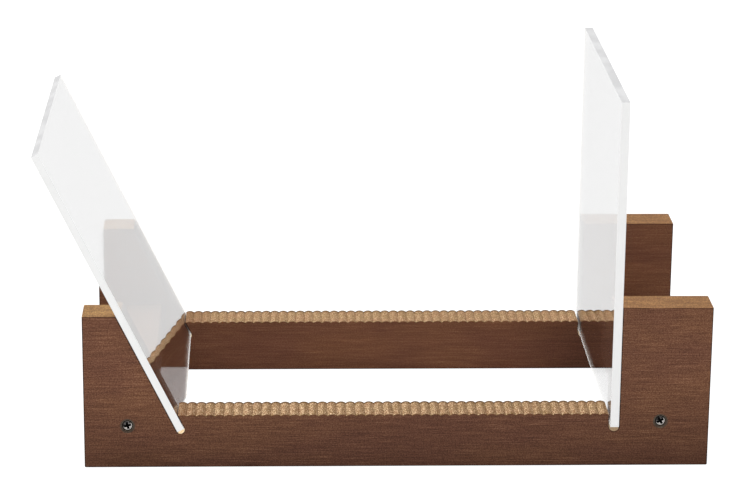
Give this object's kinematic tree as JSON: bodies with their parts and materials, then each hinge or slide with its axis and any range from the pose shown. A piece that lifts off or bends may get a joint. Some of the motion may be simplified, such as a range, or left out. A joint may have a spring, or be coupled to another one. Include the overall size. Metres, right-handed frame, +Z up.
{
  "type": "record storage stand",
  "caption": "Low wooden stand for record sleeves, with ridged treads on its rails and clear lift-out end panels in slots, the left leaning outwards and the right upright.",
  "frame": {"origin": "on the floor, under the middle of the whole stand's box, overhang of the leaning panel included", "axes": "+Z up, +X along the rails from the leaning panel to the upright panel, +Y from the front rail to the rear rail"},
  "size_m": [0.44, 0.214, 0.2468],
  "materials": {
    "stained_wood": "dark walnut stain, satin, fine straight grain",
    "bare_wood": "raw, unfinished",
    "clear_acrylic": "clear polished sheet",
    "dark_steel": "antique dark plating"
  },
  "bodies": {
    "base": {"front_rail": "stained_wood", "rear_rail": "stained_wood", "left_crossbar": "stained_wood", "right_crossbar": "stained_wood", "front_left_screw": "dark_steel", "front_right_screw": "dark_steel", "rear_left_screw": "dark_steel", "rear_right_screw": "dark_steel", "front_left_dowel": "bare_wood", "front_right_dowel": "bare_wood", "rear_left_dowel": "bare_wood", "rear_right_dowel": "bare_wood"},
    "leaning_panel": {"leaning_panel": "clear_acrylic"},
    "upright_panel": {"upright_panel": "clear_acrylic"}
  },
  "joints": [
    {"name": "leaning_panel_lift", "type": "slide", "parent": "base", "child": "leaning_panel", "axis": [-0.4384, 0, 0.8988], "range_m": [0, 0.1]},
    {"name": "upright_panel_lift", "type": "slide", "parent": "base", "child": "upright_panel", "axis": [0, 0, 1], "range_m": [0, 0.09]}
  ]
}
